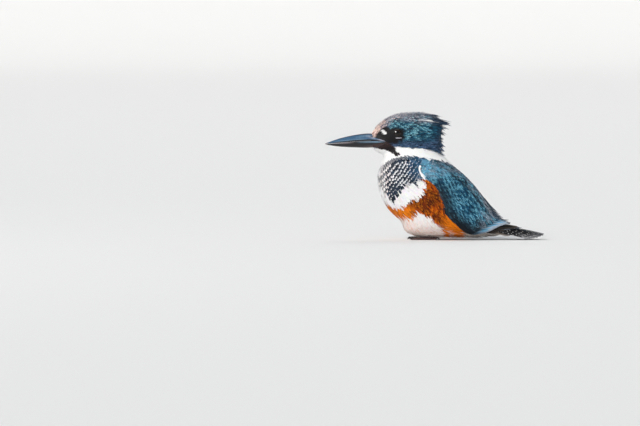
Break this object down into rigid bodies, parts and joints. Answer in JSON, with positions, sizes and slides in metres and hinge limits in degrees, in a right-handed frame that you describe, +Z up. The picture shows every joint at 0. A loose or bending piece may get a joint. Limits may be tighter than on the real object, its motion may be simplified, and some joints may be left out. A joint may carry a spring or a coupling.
{
  "type": "belted kingfisher bird model",
  "caption": "Life-size still model of a perched female belted kingfisher with a shaggy crest, a long straight bill and its tail laid on the floor.",
  "frame": {"origin": "on the floor, under the middle of the model's bounding box", "axes": "+Z up; the bill points along -X and the tail along +X; the bird's left side is towards -Y; Y = 0 is its midline"},
  "size_m": [0.2516, 0.071, 0.1459],
  "materials": {
    "head_plumage": "soft slate-blue feathers",
    "crest_plumage": "shaggy slate-blue feathers",
    "collar_plumage": "soft white feathers",
    "body_plumage": "soft feathers: white, with a slate breast band, a rufous lower band and a slate back",
    "wing_plumage": "slate-blue feathers with dark quills",
    "tail_feathers": "dark feathers with pale bars",
    "bill_horn": "satin dark horn with a paler base",
    "eye": "glossy, near black",
    "foot_skin": "dry scaly skin",
    "claw": "dark horn"
  },
  "bodies": {
    "root": {"head": "head_plumage", "crest": "crest_plumage", "neck": "collar_plumage", "trunk": "body_plumage", "wing_left": "wing_plumage", "wing_right": "wing_plumage", "tail": "tail_feathers", "bill_upper": "bill_horn", "bill_lower": "bill_horn", "eye_left": "eye", "eye_right": "eye", "tarsus_left": "foot_skin", "tarsus_right": "foot_skin", "foot_left": "foot_skin", "foot_right": "foot_skin", "claw_inner_left": "claw", "claw_middle_left": "claw", "claw_outer_left": "claw", "claw_hind_left": "claw", "claw_inner_right": "claw", "claw_middle_right": "claw", "claw_outer_right": "claw", "claw_hind_right": "claw"}
  },
  "joints": []
}
